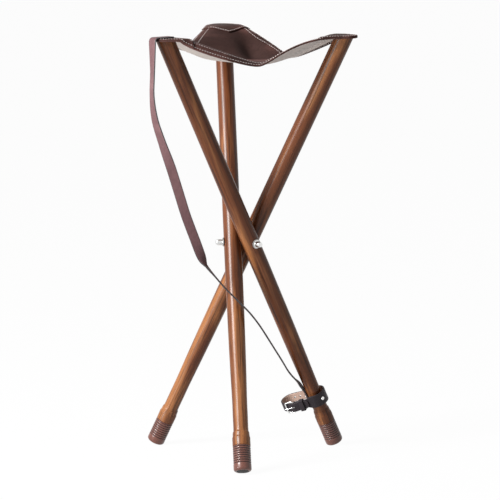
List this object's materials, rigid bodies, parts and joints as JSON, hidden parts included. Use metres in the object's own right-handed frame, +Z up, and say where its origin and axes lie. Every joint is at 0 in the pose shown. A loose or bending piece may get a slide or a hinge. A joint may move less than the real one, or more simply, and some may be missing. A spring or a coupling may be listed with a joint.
{
  "type": "folding tripod stool",
  "caption": "Folding tripod stool: turned wooden legs on a three-way bolt, a stitched leather sling seat, ribbed rubber feet, a long carrying strap and a buckled closure strap.",
  "frame": {"origin": "on the floor under the middle of the stool's box, the carrying strap left out", "axes": "+Z up; -Y toward the foot that stands in front; +X to the right of that view"},
  "size_m": [0.3424, 0.3758, 0.7021],
  "materials": {
    "wood": "dark brown stain under glossy lacquer",
    "rubber_brown": "ribbed, satin",
    "rubber_black": "matt",
    "seat_leather": "dark brown grain side up, pale flesh side below",
    "strap_leather": "smooth brown strap leather",
    "chrome": "polished",
    "steel": "plain"
  },
  "bodies": {
    "hub_and_seat": {"three_way_bolt": "steel", "bolt_washer_left": "steel", "bolt_washer_back": "steel", "bolt_washer_right": "steel", "cap_nut_left": "chrome", "cap_nut_back": "chrome", "cap_nut_right": "chrome", "seat_panel": "seat_leather", "corner_patch_left": "seat_leather", "corner_patch_back": "seat_leather", "corner_patch_right": "seat_leather"},
    "left_leg": {"leg_left": "wood", "foot_ferrule_left": "rubber_brown", "foot_pad_left": "rubber_black", "seat_screw_left": "steel", "carry_strap": "strap_leather", "strap_stud": "chrome"},
    "back_leg": {"leg_back": "wood", "foot_ferrule_back": "rubber_brown", "foot_pad_back": "rubber_black", "seat_screw_back": "steel"},
    "right_leg": {"leg_right": "wood", "foot_ferrule_right": "rubber_brown", "foot_pad_right": "rubber_black", "seat_screw_right": "steel"},
    "closure": {"closure_strap": "strap_leather", "buckle_keeper": "strap_leather", "buckle_frame": "chrome", "closure_rivet": "chrome"},
    "prong": {"buckle_prong": "chrome"}
  },
  "joints": [
    {"name": "left_leg_fold", "type": "hinge", "parent": "hub_and_seat", "child": "left_leg", "pos_m": [0.00006, -0.01972, 0.3546], "axis": [-0.5, 0.866, 0], "range_deg": [0, 26.3], "deforming": ["seat_panel", "corner_patch_left", "corner_patch_back", "corner_patch_right"]},
    {"name": "back_leg_fold", "type": "hinge", "parent": "hub_and_seat", "child": "back_leg", "pos_m": [-0.02859, -0.00317, 0.3546], "axis": [1, 0, 0], "range_deg": [0, 26.3]},
    {"name": "right_leg_fold", "type": "hinge", "parent": "hub_and_seat", "child": "right_leg", "pos_m": [0.00006, 0.01337, 0.3546], "axis": [-0.5, -0.866, 0], "range_deg": [0, 26.3]},
    {"name": "closure_turn", "type": "hinge", "parent": "left_leg", "child": "closure", "pos_m": [0.11532, 0.04683, 0.08529], "axis": [-0.3837, -0.2215, 0.8965], "range_deg": [0, 112]},
    {"name": "buckle_prong_lift", "type": "hinge", "parent": "closure", "child": "prong", "pos_m": [0.0788, 0.04407, 0.06898], "axis": [-0.3837, -0.2215, 0.8965], "range_deg": [0, 70]}
  ],
  "couplings": [
    {"joint": "back_leg_fold", "follows": "left_leg_fold", "ratio": 1},
    {"joint": "right_leg_fold", "follows": "left_leg_fold", "ratio": 1},
    {"joint": "closure_turn", "follows": "left_leg_fold", "ratio": 4.2585}
  ]
}
